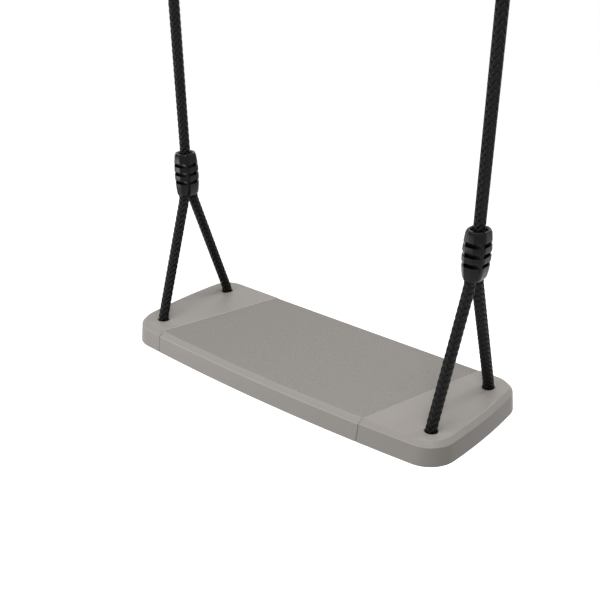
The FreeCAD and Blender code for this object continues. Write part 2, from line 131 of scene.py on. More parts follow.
def loop_route(x):
    """Straight up from the bridle clamp, through the loop clamp, round the thimble and back."""
    pin_z, loop_z = 447.0, 418.5
    wrap, overlap, corners = 15.3, math.radians(25.0), 4
    turn = (math.pi + 2 * overlap) / corners
    reach = wrap / math.cos(turn / 2)
    up = [(0.0, 176.0), (0.0, 367.2), (0.0, 384.0), (strand_mm, 400.0), (strand_mm, loop_z)]
    angles = [-overlap + turn * (i + 0.5) for i in range(corners)]
    round_pin = [(reach * math.cos(a), pin_z + reach * math.sin(a)) for a in angles]
    back = [(-strand_mm, loop_z), (-strand_mm, 402.5)]
    return [Vector((x + a * MM, 0.0, seat_top + b * MM)) for a, b in up + round_pin + back]


# %% From a route to even steps
def spline_points(name, route):
    """Points along the NURBS spline that has the route's points as its control points."""
    curve = bpy.data.curves.new(name, "CURVE")
    curve.dimensions = "3D"
    spline = curve.splines.new("NURBS")
    spline.points.add(len(route) - 1)
    for point, place in zip(spline.points, route):
        point.co = (place.x, place.y, place.z, 1.0)
    spline.order_u = 3
    spline.use_endpoint_u = True
    spline.resolution_u = 32
    holder = bpy.data.objects.new(name, curve)
    scene.collection.objects.link(holder)
    line = bpy.data.meshes.new_from_object(holder)
    points = [v.co.copy() for v in line.vertices]
    bpy.data.objects.remove(holder)
    bpy.data.curves.remove(curve)
    bpy.data.meshes.remove(line)
    return points


def walk(points, step):
    """Even steps along a line of points, with the length walked so far at each."""
    lengths = [0.0]
    for a, b in zip(points, points[1:]):
        lengths.append(lengths[-1] + (b - a).length)
    count = max(2, round(lengths[-1] / step))
    even = []
    k = 0
    for i in range(count + 1):
        s = lengths[-1] * i / count
        while k < len(lengths) - 2 and lengths[k + 1] < s:
            k += 1
        share = (s - lengths[k]) / max(lengths[k + 1] - lengths[k], 1e-9)
        even.append((points[k].lerp(points[k + 1], share), s))
    return even


def measured(points):
    """The length of a line of points."""
    return sum((b - a).length for a, b in zip(points, points[1:]))


for name, route in (("bridle", bridle_route(rope_x)), ("loop", loop_route(rope_x))):
    print(name, "route is", round(measured(spline_points(name, route)), 4), "long")

# %% [markdown]
# ## A round braid
# The rope is a twelve-strand braid: six strands wind one way round and six the other, and
# each passes over two and under two. Every strand is a flat ribbon-like tube that follows a
# helix, pushed out where it is on top and in where it dives. A frame carried along the line
# without twisting keeps the helices even round the bends. A plain dark tube fills the middle.

# %% The braid's sizes
braid_pitch = 38 * MM
steps_per_pitch = 32
strands_each_way = 6
strand_wide = 3.9 * MM
strand_thick = 1.3 * MM
weave_depth = 0.42 * MM
weave_hold = 1.5        # more makes a strand stay longer on top and dive faster
proud = 0.25 * MM
strand_sides = 6
fill_sides = 12
fill_gap = 0.35 * MM
uv_length = 10 * MM     # this length of strand makes one unit of the UV map
strand_shift = 0.01     # moves each strand on the map, so that no two have the same fibres
mean_r = rope_r + proud - strand_thick / 2 - weave_depth
print("strands run at", round(mean_r, 5), "from the rope's middle")


# %% Frames along a line, and faces round it
def carried_frames(line):
    """A tangent, a side and an up vector at each point, turned as little as possible."""
    frames = []
    side = None
    for i, (here, s) in enumerate(line):
        ahead = line[min(i + 1, len(line) - 1)][0]
        behind = line[max(i - 1, 0)][0]
        tangent = (ahead - behind).normalized()
        if side is None:
            side = tangent.orthogonal().normalized()
        side = (side - tangent * side.dot(tangent)).normalized()
        frames.append((here, s, tangent, side, tangent.cross(side)))
    return frames


def ring_faces(rows, sides_count, start):
    """Quads between rings of vertices, with both ends closed. Rings run from start upwards."""
    faces = []
    for i in range(rows - 1):
        low, high = start + i * sides_count, start + (i + 1) * sides_count
        for k in range(sides_count):
            n = (k + 1) % sides_count
            faces.append((low + k, low + n, high + n, high + k))
    last = start + (rows - 1) * sides_count
    faces.append(tuple(range(start + sides_count - 1, start - 1, -1)))
    faces.append(tuple(range(last, last + sides_count)))
    return faces


# %% Braid one rope
def braided_rope(name, points):
    """A mesh of twelve woven strands round a filling tube, with a UV map along each strand."""
    line = walk(points, braid_pitch / steps_per_pitch)
    frames = carried_frames(line)
    crossings = 2 * strands_each_way
    verts, faces, uvs = [], [], []
    for way in (1, -1):
        for j in range(strands_each_way):
            start = len(verts)
            for here, s, tangent, side, up in frames:
                u = s * crossings / braid_pitch
                lift = 2 * j + u - 0.5 if way > 0 else 2 * j - u - 2.5
                wave = math.tanh(weave_hold * math.cos(math.pi * lift / 2)) / math.tanh(weave_hold)
                angle = way * 2 * math.pi * s / braid_pitch + 2 * math.pi * j / strands_each_way
                out = side * math.cos(angle) + up * math.sin(angle)
                across = tangent.cross(out)
                slope = way * 2 * math.pi * mean_r / braid_pitch
                wide = (across - tangent * slope).normalized()
                middle = here + out * (mean_r + weave_depth * wave)
                for k in range(strand_sides):
                    a = 2 * math.pi * (k + 0.5) / strand_sides
                    verts.append(middle + wide * (math.cos(a) * strand_wide / 2)
                                 + out * (math.sin(a) * strand_thick / 2))
            faces += ring_faces(len(frames), strand_sides, start)
            uvs.append((start, len(frames), strand_sides))
    start = len(verts)
    fill_r = mean_r - fill_gap
    for here, s, tangent, side, up in frames:
        for k in range(fill_sides):
            a = 2 * math.pi * k / fill_sides
            verts.append(here + (side * math.cos(a) + up * math.sin(a)) * fill_r)
    faces += ring_faces(len(frames), fill_sides, start)
    mesh = bpy.data.meshes.new(name)
    mesh.from_pydata(verts, [], faces)
    layer = mesh.uv_layers.new(name="along_strand")
    owner = {}
    for first, rows, count in uvs:
        for r in range(rows):
            for k in range(count):
                owner[first + r * count + k] = (k / count, line[r][1] / uv_length, first)
    for loop in mesh.loops:
        k, v, first = owner.get(loop.vertex_index, (0.0, 0.0, 0))
        layer.data[loop.index].uv = (k + first * strand_shift, v)
    mesh.validate()
    bm = bmesh.new()
    bm.from_mesh(mesh)
    bmesh.ops.recalc_face_normals(bm, faces=bm.faces)
    bm.to_mesh(mesh)
    bm.free()
    for polygon in mesh.polygons:
        polygon.use_smooth = len(polygon.vertices) == 4
    obj = bpy.data.objects.new(name, mesh)
    scene.collection.objects.link(obj)
    return obj, [here for here, s in line]


# %% Lay the four ropes
ropes = []
for side, sign in sides:
    bridle, bridle_path = braided_rope(side + "_bridle_braid",
                                       spline_points("route", bridle_route(sign * rope_x)))
    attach(bridle, "seat")
    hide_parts(side + "_bridle_rope")
    upper, upper_path = braided_rope(side + "_upper_braid",
                                     spline_points("route", loop_route(sign * rope_x)))
    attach(upper, side + "_line")
    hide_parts(side + "_upper_rope")
    ropes += [bridle, upper]
    print(side, "bridle", round(measured(bridle_path), 4),
          "upper", round(measured(upper_path), 4),
          "triangles", sum(len(p.vertices) - 2 for p in bridle.data.polygons))

# %% [markdown]
# ## Working by hand, in code
# Most pieces here are made as a modeller makes them at the desk: a primitive is added, then
# extruded, bevelled and cut in edit mode, and finished with modifiers. These helpers keep the
# habits that such work needs. Everything is deselected first, faces and edges are chosen by
# their place, and each modifier is applied as soon as it is set.

# %% Helpers that select
def select_only(obj):
    """Leave edit mode, drop every selection and take one object up."""
    if bpy.context.object and bpy.context.object.mode != "OBJECT":
        bpy.ops.object.mode_set(mode="OBJECT")
    bpy.ops.object.select_all(action="DESELECT")
    obj.select_set(True)
    bpy.context.view_layer.objects.active = obj


def pick(obj, kind, wanted):
    """Select the faces, edges or vertices of the mesh in edit mode for which wanted is true."""
    bpy.ops.mesh.select_mode(type=kind)
    bpy.ops.mesh.select_all(action="DESELECT")
    bm = bmesh.from_edit_mesh(obj.data)
    parts = {"VERT": bm.verts, "EDGE": bm.edges, "FACE": bm.faces}[kind]
    chosen = 0
    for part in parts:
        if wanted(part):
            part.select_set(True)
            chosen += 1
    bm.select_flush_mode()
    bmesh.update_edit_mesh(obj.data)
    return chosen


# %% A helper that raises a closed form
def raised(name, rings):
    """A circle primitive set to the first ring, then extruded from ring to ring and closed."""
    bpy.ops.object.select_all(action="DESELECT")
    bpy.ops.mesh.primitive_circle_add(vertices=len(rings[0]), radius=1.0, fill_type="NGON")
    obj = bpy.context.object
    obj.name = obj.data.name = name
    bpy.ops.object.mode_set(mode="EDIT")
    bm = bmesh.from_edit_mesh(obj.data)
    station = bm.verts.layers.int.new("station")
    order = sorted(bm.verts, key=lambda v: math.atan2(v.co.y, v.co.x) % (2 * math.pi))
    for i, v in enumerate(order):
        v[station] = i
        v.co = rings[0][i]
    bmesh.update_edit_mesh(obj.data)
    for ring in rings[1:]:
        bpy.ops.mesh.extrude_region_move()
        bm = bmesh.from_edit_mesh(obj.data)
        station = bm.verts.layers.int["station"]
        for v in bm.verts:
            if v.select:
                v.co = ring[v[station]]
        bmesh.update_edit_mesh(obj.data)
    pick(obj, "EDGE", lambda e: e.is_boundary)
    bpy.ops.mesh.edge_face_add()
    bpy.ops.mesh.select_all(action="SELECT")
    bpy.ops.mesh.normals_make_consistent(inside=False)
    bpy.ops.object.mode_set(mode="OBJECT")
    return obj


# %% Helpers that finish and cut
def finish_with(obj, kind, **settings):
    """Add a modifier with these settings and apply it."""
    select_only(obj)
    modifier = obj.modifiers.new(kind.lower(), kind)
    for key, value in settings.items():
        setattr(modifier, key, value)
    bpy.ops.object.modifier_apply(modifier=modifier.name)


def carve(obj, cutter, operation="DIFFERENCE"):
    """Cut one closed form with another, which is used up."""
    finish_with(obj, "BOOLEAN", operation=operation, solver="EXACT", object=cutter)
    bpy.data.objects.remove(cutter)


def open_edges(obj):
    """How many edges don't have exactly two faces. A closed form has none."""
    bm = bmesh.new()
    bm.from_mesh(obj.data)
    count = sum(not e.is_manifold for e in bm.edges)
    bm.free()
    return count


# %% Helpers that add and copy
def rod(radius, low, high, x=0.0, y=0.0, vertices=48, top_radius=None):
    """An upright cylinder or cone between two heights, with its place in its mesh."""
    bpy.ops.object.select_all(action="DESELECT")
    bpy.ops.mesh.primitive_cone_add(vertices=vertices, radius1=radius, depth=high - low,
                                    radius2=radius if top_radius is None else top_radius)
    obj = bpy.context.object
    obj.data.transform(Matrix.Translation((x, y, (low + high) / 2)))
    return obj


def block(low, high):
    """A box between two corners, with its place in its mesh."""
    bpy.ops.object.select_all(action="DESELECT")
    bpy.ops.mesh.primitive_cube_add(size=1.0)
    obj = bpy.context.object
    size = Vector(high) - Vector(low)
    obj.data.transform(Matrix.Diagonal((*size, 1.0)))
    obj.data.transform(Matrix.Translation((Vector(low) + Vector(high)) / 2))
    return obj


def copy_of(obj, name, matrix=None):
    """A copy with its own mesh, moved by a matrix in that mesh."""
    twin = obj.copy()
    twin.data = obj.data.copy()
    twin.name = twin.data.name = name
    scene.collection.objects.link(twin)
    if matrix is not None:
        twin.data.transform(matrix)
    return twin


# %% [markdown]
# ## The seat's outline
# Seen from above, the board is a long rectangle whose sides and ends bulge a little and whose
# corners are round: eight arcs, each tangent to the next. Every station on the outline keeps
# its arc's centre and direction, so the same station can be found again further in or out.
# That gives the chamfer round the top and the leaning wall below it without any guesswork.

# %% The seat's sizes and its outline
seat_half_length = 212.4 * MM
seat_half_width = 82.5 * MM
seat_thickness = 24.9 * MM
side_bow = 4.9 * MM
end_bow = 5.4 * MM
corner_radius = 27.75 * MM
end_rise = 3.46 * MM
edge_chamfer = 5.0 * MM
wall_draft = 0.1276
seam_x = 141.8 * MM
seam_slant = 0.2604
seam_gap = 0.16 * MM
panel_drop = 0.6 * MM
hole_y = rope_hole_mm * MM
hole_r = 6.3 * MM
print("seat", round(2 * seat_half_length, 4), "x", round(2 * seat_half_width, 4))


# %% Stations on the outline
def quarter_stations(end_count=12, corner_count=14, side_count=42):
    """Stations from the middle of the right end to the middle of the rear side."""
    side_radius = seat_half_length ** 2 / (2 * side_bow)
    end_radius = seat_half_width ** 2 / (2 * end_bow)
    side = Vector((0.0, seat_half_width - side_radius))
    end = Vector((seat_half_length - end_radius, 0.0))
    from_side, from_end = side_radius - corner_radius, end_radius - corner_radius
    apart = end - side
    along = (from_side ** 2 - from_end ** 2 + apart.length_squared) / (2 * apart.length)
    across = math.sqrt(from_side ** 2 - along ** 2)
    axis = apart.normalized()
    corner = side + axis * along + Vector((axis.y, -axis.x)) * across
    end_turn = math.atan2(corner.y - end.y, corner.x - end.x)
    side_turn = math.atan2(corner.y - side.y, corner.x - side.x)
    arcs = ((end, end_radius, 0.0, end_turn, end_count),
            (corner, corner_radius, end_turn, side_turn, corner_count),
            (side, side_radius, side_turn, math.pi / 2, side_count))
    stations = []
    for centre, radius, first, last, count in arcs:
        for i in range(count):
            angle = first + (last - first) * i / count
            stations.append((centre, radius, Vector((math.cos(angle), math.sin(angle)))))
    stations.append((side, side_radius, Vector((0.0, 1.0))))
    return stations


quarter = quarter_stations()
stations = []
for sx, sy in ((1, 1), (-1, 1), (-1, -1), (1, -1)):
    part = [(Vector((c.x * sx, c.y * sy)), r, Vector((d.x * sx, d.y * sy)))
            for c, r, d in quarter]
    if sx * sy < 0:
        part.reverse()
    stations += part[:-1]


def seat_ring(inset, z):
    """The whole outline moved inwards by inset, at a height below the seat's top."""
    ring = []
    for centre, radius, direction in stations:
        place = centre + direction * (radius - inset)
        ring.append(Vector((place.x, place.y, z)))
    return ring


print("stations", len(stations),
      "half size", round(max(p.x for p in seat_ring(0, 0)), 4),
      round(max(p.y for p in seat_ring(0, 0)), 4))

# %% [markdown]
# ## The skin of the seat
# The three covers share one form, so it is made once, flat, and cut apart later. The board is
# raised in three steps: its lower edge, the top of the leaning wall and the flat top. The two
# edges of the chamfer are bevelled, which is what catches the light along the rim. Boolean
# cylinders open the four rope holes while the top is still a single flat face. Bisecting it with
# many planes then gives the top enough points to be bent. The planes lean as the seams do, so
# a seam runs along a row of points and can be rounded cleanly.

# %% Raise the board and open the holes
chamfer_top_round = 0.8 * MM
chamfer_low_round = 0.8 * MM
hole_round = 1.3 * MM
cut_reach = 0.06
wall_top = -edge_chamfer
level = 1e-6
draft_out = -wall_draft * (seat_thickness - edge_chamfer)
skin = raised("seat_skin", [seat_ring(draft_out, -seat_thickness), seat_ring(0.0, wall_top),
                            seat_ring(edge_chamfer, 0.0)])
bpy.ops.object.mode_set(mode="EDIT")
for height, width in ((0.0, chamfer_top_round), (wall_top, chamfer_low_round)):
    pick(skin, "EDGE", lambda e: all(abs(v.co.z - height) < level for v in e.verts))
    bpy.ops.mesh.bevel(offset=width, segments=3, affect="EDGES")
bpy.ops.object.mode_set(mode="OBJECT")

holes = [Vector((sx * rope_x, sy * hole_y)) for sx in (1, -1) for sy in (1, -1)]
for hole in holes:
    carve(skin, rod(hole_r + hole_round, -cut_reach, cut_reach, hole.x, hole.y, vertices=40))
print("skin faces with its holes", len(skin.data.polygons))


# %% Keep only the outside
def nearest_hole(point):
    """The middle of the rope hole that is closest to a point."""
    return min(holes, key=lambda h: (h - point.to_2d()).length)


def hole_distance(point):
    """How far a point lies from the middle of its rope hole, seen from above."""
    return (nearest_hole(point) - point.to_2d()).length


def unwanted(face):
    """The underside, and the walls that the cylinders left in the rope holes."""
    in_hole = hole_distance(face.calc_center_median()) < hole_r + hole_round + 1e-5
    return face.normal.z < -0.9 or (abs(face.normal.z) < 0.1 and in_hole)


bpy.ops.object.mode_set(mode="EDIT")
print("faces taken off", pick(skin, "FACE", unwanted))
bpy.ops.mesh.delete(type="FACE")


# %% Rings round the holes
def on_rim(edge):
    """An open edge that lies on the top, at the rounding's outer radius."""
    return edge.is_boundary and all(
        v.co.z > -1 * MM and abs(hole_distance(v.co) - hole_r - hole_round) < 0.1 * MM
        for v in edge.verts)


ring_shares = (0.62, 0.3, 0.08, 0.0)
print("rim edges", pick(skin, "EDGE", on_rim))
for share in ring_shares:
    bpy.ops.mesh.extrude_region_move()
    bm = bmesh.from_edit_mesh(skin.data)
    for v in bm.verts:
        if v.select:
            hole = nearest_hole(v.co)
            out = (v.co.to_2d() - hole).normalized() * (hole_r + hole_round * share)
            v.co.x, v.co.y = hole.x + out.x, hole.y + out.y
    bmesh.update_edit_mesh(skin.data)

# %% Cut a grid into the skin
seam_round = {"cap": 1.0 * MM, "panel": 0.8 * MM}
row_shares = (0.08, 0.3, 0.62, 1.0)
columns_to_seam, columns = 33, 51
rows, row_spacing = 18, 4.1 * MM
lean = Vector((1.0, -seam_slant, 0.0)).normalized()


def slice_at(place, normal, **clear):
    """Cut the whole mesh in edit mode with one plane."""
    bpy.ops.mesh.select_all(action="SELECT")
    bpy.ops.mesh.bisect(plane_co=place, plane_no=normal, threshold=1e-6, **clear)


def seam_point(sign, distance):
    """A point on the plane that runs beside a seam, that far from the seam's middle."""
    return lean * (sign * (seam_x * lean.x + distance))


spacing = seam_x * lean.x / columns_to_seam
for i in range(-columns, columns + 1):
    if abs(i) != columns_to_seam:
        slice_at(lean * (i * spacing), lean)
for i in range(-rows, rows + 1):
    slice_at((0.0, i * row_spacing, 0.0), (0.0, 1.0, 0.0))
for sign in (1, -1):
    for share in row_shares:
        slice_at(seam_point(sign, seam_gap / 2 + share * seam_round["cap"]), lean)
        slice_at(seam_point(sign, -seam_gap / 2 - share * seam_round["panel"]), lean)
bpy.ops.object.mode_set(mode="OBJECT")
print("skin faces after the cuts", len(skin.data.polygons))

# %% [markdown]
# ## Bending the flat skin
# The real seat sags a little along its length, so its ends stand higher than its middle. Each
# end cap also has a soft hollow that runs from one rope hole to the other and closes round
# both. Both are plain vertex moves: a parabola along X, and a cosine of the distance from the
# line between the holes.

# %% Bend the skin
top_radius = seat_half_length ** 2 / (2 * end_rise)
hollow_depth = 2.1 * MM
hollow_reach = 19.5 * MM
hollow_shift = 1.0 * MM


def rise_at(x):
    """How much higher the seat stands here than in its middle."""
    return x ** 2 / (2 * top_radius)


def hollow_at(x, y):
    """How deep the hollow between the two holes of a cap is at this place."""
    beyond = max(abs(y) - hole_y, 0.0)
    away = math.hypot(abs(x) - rope_x - hollow_shift, beyond)
    if away >= hollow_reach:
        return 0.0
    return hollow_depth * 0.5 * (1 + math.cos(math.pi * away / hollow_reach))


# %% Mark the flat top and the edges that get a painted highlight, then bend
# Painted highlight: the points along the chamfer's lower edge are marked, and the covers' colour
# turns lighter there.
edge_highlight_reach = 0.35 * MM
for name, chosen in (("flat_top", lambda z: z > -0.01 * MM),
                     ("painted_edge_highlight", lambda z: abs(z - wall_top) < edge_highlight_reach)):
    mark = skin.data.attributes.new(name, "FLOAT", "POINT")
    for v in skin.data.vertices:
        mark.data[v.index].value = 1.0 if chosen(v.co.z) else 0.0
    print(name, "points", sum(row.value > 0.5 for row in mark.data))
for v in skin.data.vertices:
    if v.co.z > -0.5 * MM:
        v.co.z -= hollow_at(v.co.x, v.co.y)
    v.co.z += rise_at(v.co.x)
skin.data.update()
print("ends stand", round(rise_at(seat_half_length), 4), "above the middle")

# %% [markdown]
# ## Three covers from one skin
# Each cover is a copy of the skin, bisected at its seams. Solidify turns it into a shell with a
# wall of its own, so no edge is paper thin. The edges at the seams and at the rope holes are
# rounded after that, by moving the outer points inwards along their normals, because a small
# rounding would fold the inner wall over if it were there before the wall was made.

# %% One cover, cut, thickened and rounded
cover_wall = 2.4 * MM
panel_drop_below = 1.4 * wall_top
top_above = 0.3 * wall_top
panel_top_share = 0.25
edge_highlight_share = 0.9
hole_zone = -4 * MM
cover_crease = math.radians(35)


def rounding(distance, radius):
    """How far a quarter-round edge falls back at this distance from the edge."""
    if distance >= radius:
        return 0.0
    return radius - math.sqrt(max(radius ** 2 - (radius - max(distance, 0.0)) ** 2, 0.0))


def cover(name, cuts, kind):
    """One cover: keeps what lies outside each cut, or inside for the panel."""
    piece = copy_of(skin, name)
    select_only(piece)
    bpy.ops.object.mode_set(mode="EDIT")
    for sign in cuts:
        if kind == "cap":
            slice_at(seam_point(sign, seam_gap / 2), lean * sign, clear_inner=True)
        else:
            slice_at(seam_point(sign, -seam_gap / 2), lean * sign, clear_outer=True)
    bpy.ops.object.mode_set(mode="OBJECT")
    if kind == "panel":
        for v in piece.data.vertices:
            if v.co.z - rise_at(v.co.x) > panel_drop_below:
                v.co.z -= panel_drop
        piece.data.update()
    outer = len(piece.data.vertices)
    inwards = [-v.normal.copy() for v in piece.data.vertices]
    finish_with(piece, "SOLIDIFY", thickness=cover_wall, offset=-1.0, use_even_offset=True)
    radius = seam_round[kind]
    top_round = radius if kind == "cap" else panel_top_share * radius
    for i in range(outer):
        v = piece.data.vertices[i]
        back = 0.0
        for sign in cuts:
            edge = seam_x * lean.x + (seam_gap / 2 if kind == "cap" else -seam_gap / 2)
            distance = abs(sign * v.co.dot(lean) - edge)
            on_top = v.co.z - rise_at(v.co.x) > top_above
            back = max(back, rounding(distance, top_round if on_top else radius))
            # Painted highlight: the cap's rounded seam edge on the top is marked, so that its
            # colour turns lighter there.
            if kind == "cap" and on_top and distance < edge_highlight_share * radius:
                piece.data.attributes["painted_edge_highlight"].data[i].value = 1.0
        if v.co.z > hole_zone and kind == "cap":
            back = max(back, rounding(hole_distance(v.co) - hole_r, hole_round))
        v.co += inwards[i] * back
    piece.data.transform(Matrix.Translation((0.0, 0.0, seat_top)))
    select_only(piece)
    bpy.ops.object.shade_smooth_by_angle(angle=cover_crease)
    finish_with(piece, "WEIGHTED_NORMAL", keep_sharp=True)
    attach(piece, "seat")
    return piece


# %% The three covers
right_cap = cover("right_cap_cover", (1,), "cap")
left_cap = cover("left_cap_cover", (-1,), "cap")
panel = cover("panel_cover", (1, -1), "panel")
for piece, node, finish in ((right_cap, "right_end_cap", "cap_plastic"),
                            (left_cap, "left_end_cap", "cap_plastic"),
                            (panel, "centre_panel", "panel_plastic")):
    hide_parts(node)
    print(piece.name, "faces", len(piece.data.polygons), "open edges", open_edges(piece))
bpy.data.objects.remove(skin)

# %% [markdown]
# ## The slotted clamps
# A black clamp joins each bridle to its upper rope, and a second one closes the loop round the
# thimble at the top. It is a barrel with flat sides and shouldered corners, moulded with three
# tiers of slots that leave a rib standing at two opposite corners. The barrel is raised from
# twelve-sided rings. Its upright edges are bevelled first, while they are still whole, and the
# slots are cut after that, so that they bite cleanly into the rounded form.

# %% The clamp's barrel
clamp_low = 137.5 * MM
clamp_high = 184.0 * MM
# Each row is a share of the clamp's height, with half the width and half the depth there.
clamp_levels = ((0.0, 7.9, 12.1), (0.055, 9.5, 13.0), (0.2, 10.8, 13.4), (0.42, 11.6, 13.8),
                (0.62, 11.7, 13.6), (0.82, 11.1, 12.9), (0.945, 10.4, 12.2), (1.0, 9.2, 11.0))
flat_x, flat_y = 0.36, 0.40
shoulder_x, shoulder_y = 0.90, 0.62
upright_round = 1.1 * MM


def mirrored_ring(corner, z):
    """A closed ring from the points of one quarter, which run from +X round to +Y."""
    ring = []
    for sx, sy in ((1, 1), (-1, 1), (-1, -1), (1, -1)):
        points = corner if sx * sy > 0 else corner[::-1]
        ring += [Vector((x * sx, y * sy, z)) for x, y in points]
    return ring


def barrel():
    """The clamp's outside, with its upright edges rounded."""
    rings = []
    for share, half_x, half_y in clamp_levels:
        x, y = half_x * MM, half_y * MM
        corner = [(x, flat_y * y), (shoulder_x * x, shoulder_y * y), (flat_x * x, y)]
        rings.append(mirrored_ring(corner, clamp_low + share * (clamp_high - clamp_low)))
    body = raised("clamp_barrel", rings)
    bpy.ops.object.mode_set(mode="EDIT")
    upright = pick(body, "EDGE", lambda e: abs(e.verts[0].co.z - e.verts[1].co.z) > 0.1 * MM)
    bpy.ops.mesh.bevel(offset=upright_round, segments=3, affect="EDGES")
    bpy.ops.mesh.select_all(action="SELECT")
    bpy.ops.mesh.quads_convert_to_tris()
    bpy.ops.object.mode_set(mode="OBJECT")
    print("upright edges rounded", upright)
    return body


# %% Cut the slots
slot_levels = (153.3 * MM, 162.6 * MM, 172.0 * MM)
slot_half = 1.9 * MM
rib_x, rib_y = 9.3 * MM, 6.9 * MM
step_x, step_y = 3.4 * MM, 8.7 * MM
step_lap = 0.1 * MM
far = 30 * MM
# One side of the plastic that stands behind the slots. The other side is its half turn.
deep_side = ((7.8, 4.0), (10.5, 5.0), (9.8, 8.1), (6.1, 11.2), (4.2, 7.8), (-7.8, 7.8))
plain_side = ((9.0, 9.2), (6.0, 12.2), (-9.0, 12.2))


def slot_cutter(deep):
    """What one tier takes away: a slab without its middle, its ribs and, if deep, its steps."""
    kept = [((rib_x, -2 * far), (2 * far, -rib_y))]
    if deep:
        kept.append(((step_x, -step_y), (rib_x + step_lap, -rib_y + step_lap)))
    side = deep_side if deep else plain_side
    outline = [(sign * x * MM, sign * y * MM) for sign in (1, -1) for x, y in side]
    slab = block((-far, -far, -slot_half), (far, far, slot_half))
    middle = [[Vector((x, y, z)) for x, y in outline] for z in (-far, far)]
    carve(slab, raised("slot_floor", middle))
    for low, high in kept:
        carve(slab, block((*low, -far), (*high, far)))
        carve(slab, block((-high[0], -high[1], -far), (-low[0], -low[1], far)))
    return slab


def slotted_barrel(name, deep):
    """A barrel with its three tiers of slots."""
    body = barrel()
    body.name = body.data.name = name
    cutter = slot_cutter(deep)
    for level in slot_levels:
        carve(body, copy_of(cutter, "slot", Matrix.Translation((0.0, 0.0, level))))
    bpy.data.objects.remove(cutter)
    return body


def stadium(run, radius, z, arc=16):
    """A ring of points round two circles that lie side by side along Y."""
    ring = []
    for sign in (1, -1):
        for i in range(arc + 1):
            a = math.pi * i / arc
            x, y = sign * radius * math.cos(a), sign * (run + radius * math.sin(a))
            ring.append(Vector((x, y, z)))
    return ring


# %% Helpers that open the clamps for the ropes
strand_room = 5.8 * MM
strand_off = strand_mm * MM
foot_spread = 0.2 * MM
strands_top, loop_strands_top, loop_rope_low = 150.2 * MM, 172 * MM, 170 * MM
below_clamp, above_clamp = clamp_low - 1 * MM, clamp_high + 1 * MM
socket_r, socket_z = 7.5 * MM, 176 * MM
socket_steps, socket_start = 11, -1.5
crumb = 0.03 * MM
edge_round = 0.32 * MM
clamp_crease = math.radians(38)
# Pairs of radius and height, from the socket's neck outwards.
mouth = ((6.95, 178.82), (7.15, 181.1), (7.6, 182.6), (8.4, 184.0), (9.0, 184.9))


def turned_form(name, profile, around=48):
    """A closed form turned about the upright axis, from pairs of radius and height."""
    angles = [2 * math.pi * (i + 0.5) / around for i in range(around)]
    return raised(name, [[Vector((r * math.cos(a), r * math.sin(a), z)) for a in angles]
                         for r, z in profile])


def softened(body):
    """Weld the crumbs of the cuts, and round every edge that is still sharp."""
    select_only(body)
    bpy.ops.object.mode_set(mode="EDIT")
    bpy.ops.mesh.select_all(action="SELECT")
    bpy.ops.mesh.remove_doubles(threshold=crumb)
    bpy.ops.mesh.dissolve_limited(angle_limit=math.radians(0.05))
    bpy.ops.object.mode_set(mode="OBJECT")
    finish_with(body, "BEVEL", width=edge_round, segments=2, limit_method="ANGLE",
                angle_limit=clamp_crease, use_clamp_overlap=False)
    bpy.ops.object.shade_smooth_by_angle(angle=clamp_crease)
    finish_with(body, "WEIGHTED_NORMAL", keep_sharp=True)


# %% The bridle clamp
bridle_clamp = slotted_barrel("bridle_clamp", True)
carve(bridle_clamp, raised("strands", [stadium(strand_off + foot_spread, strand_room, below_clamp),
                                       stadium(strand_off, strand_room, strands_top)]))
neck = math.asin((mouth[0][1] * MM - socket_z) / socket_r)
ball = [socket_start + (neck - socket_start) * i / socket_steps for i in range(socket_steps)]
socket_profile = [(socket_r * math.cos(a), socket_z + socket_r * math.sin(a)) for a in ball]
carve(bridle_clamp, turned_form("socket", socket_profile + [(r * MM, z * MM) for r, z in mouth]))
softened(bridle_clamp)

# %% The loop clamp
loop_clamp = slotted_barrel("loop_clamp", False)
carve(loop_clamp, raised("strands", [stadium(strand_off, strand_room, below_clamp),
                                     stadium(strand_off, strand_room, loop_strands_top)]))
carve(loop_clamp, rod(strand_room, loop_rope_low, above_clamp))
softened(loop_clamp)

# %% Place the clamps
loop_clamp_low = 374.0 * MM
clamp_middle = (clamp_low + clamp_high) / 2
upside_down = (Matrix.Translation((0.0, 0.0, loop_clamp_low - clamp_low + clamp_middle))
               @ Matrix.Rotation(math.pi / 2, 4, "Z") @ Matrix.Rotation(math.pi, 4, "X")
               @ Matrix.Translation((0.0, 0.0, -clamp_middle)))
clamps = []
for side, sign in sides:
    beside = Matrix.Translation((sign * rope_x, 0.0, seat_top))
    for master, part, body, turn in ((bridle_clamp, "bridle_clamp", "seat", Matrix()),
                                     (loop_clamp, "loop_clamp", side + "_line", upside_down)):
        piece = copy_of(master, side + "_" + part + "_barrel", beside @ turn)
        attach(piece, body)
        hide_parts(side + "_" + part)
        clamps.append(piece)
        print(piece.name, "faces", len(piece.data.polygons), "open edges", open_edges(piece))
for master in (bridle_clamp, loop_clamp):
    bpy.data.objects.remove(master)

# %% [markdown]
# ## Finishes
# Nothing here is one flat colour. The covers are grained moulded plastic, the clamps are satin
# black plastic, the ropes show their fibres, and the steel is zinc plated. What the finishes
# share is built once as node groups: a grain, a metal skin and the fibres of a yarn. Each
# material then places a group with its own values. The groups give out only colours, values
# and heights; the shader stays in the material.

# %% Helpers for nodes
def add(tree, kind, feeds=(), **settings):
    """Add a node. Feeds pairs an input's name or number with a value or another node's socket."""
    new = tree.nodes.new("ShaderNode" + kind)
    for key, value in settings.items():
        setattr(new, key, value)
    for slot, value in feeds:
        if isinstance(value, bpy.types.NodeSocket):
            tree.links.new(value, new.inputs[slot])
        else:
            new.inputs[slot].default_value = value
    return new


